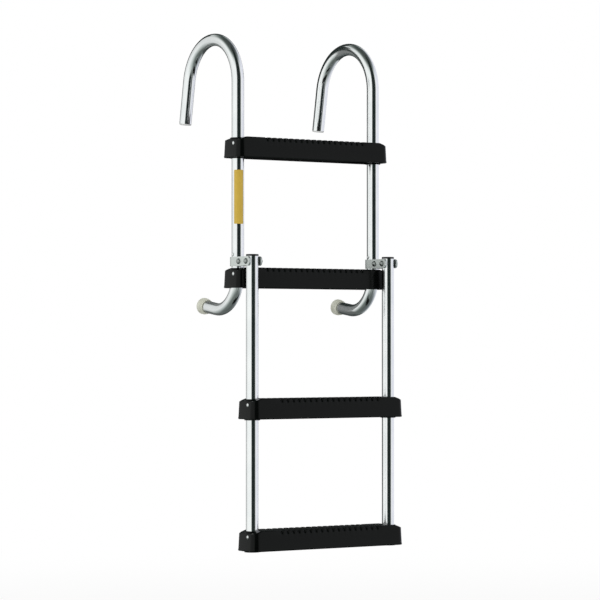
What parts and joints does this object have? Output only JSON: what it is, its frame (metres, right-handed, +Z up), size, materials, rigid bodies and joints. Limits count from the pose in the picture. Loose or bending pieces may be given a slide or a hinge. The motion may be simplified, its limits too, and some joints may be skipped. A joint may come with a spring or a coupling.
{
  "type": "folding pontoon boat ladder",
  "caption": "Folding boarding ladder of bent polished tube with moulded black steps, hooks over a rail and rubber-tipped stand-offs.",
  "frame": {"origin": "midway between the two hooks, at the height of the inside of their crowns, where the ladder hangs", "axes": "+Z up, +X to the right seen from the user's side, +Y towards the boat"},
  "size_m": [0.3833, 0.3051, 1.0656],
  "materials": {
    "polished_tube": "polished and anodised",
    "step_plastic": "fine moulded grain",
    "pale_rubber": "matt, slightly chalky",
    "plug_plastic": "smooth moulded",
    "cap_plastic": "smooth moulded",
    "strap_metal": "tumbled",
    "bolt_steel": "stainless, turned",
    "rivet_metal": "bright",
    "amber_vinyl": "plain printed vinyl"
  },
  "bodies": {
    "upper_section": {"amber_band": "amber_vinyl", "left_bumper": "pale_rubber", "left_clamp_bolt": "bolt_steel", "left_clamp_nut": "bolt_steel", "left_hinge_strap": "strap_metal", "left_hook_plug": "plug_plastic", "left_pivot_bolt": "bolt_steel", "left_pivot_nut": "bolt_steel", "left_side_tube": "polished_tube", "left_stop_rivet": "rivet_metal", "right_bumper": "pale_rubber", "right_clamp_bolt": "bolt_steel", "right_clamp_nut": "bolt_steel", "right_hinge_strap": "strap_metal", "right_hook_plug": "plug_plastic", "right_pivot_bolt": "bolt_steel", "right_pivot_nut": "bolt_steel", "right_side_tube": "polished_tube", "right_stop_rivet": "rivet_metal", "step_1": "step_plastic", "step_1_left_rivet": "rivet_metal", "step_1_right_rivet": "rivet_metal", "step_2": "step_plastic", "step_2_left_rivet": "rivet_metal", "step_2_right_rivet": "rivet_metal"},
    "lower_section": {"left_lower_tube": "polished_tube", "left_tube_cap": "cap_plastic", "right_lower_tube": "polished_tube", "right_tube_cap": "cap_plastic", "step_3": "step_plastic", "step_3_left_rivet": "rivet_metal", "step_3_right_rivet": "rivet_metal", "step_4": "step_plastic", "step_4_left_rivet": "rivet_metal", "step_4_right_rivet": "rivet_metal"}
  },
  "joints": [
    {"name": "fold", "type": "hinge", "parent": "upper_section", "child": "lower_section", "pos_m": [0, -0.149, -0.4503], "axis": [-1, 0, 0], "range_deg": [0, 180]}
  ]
}
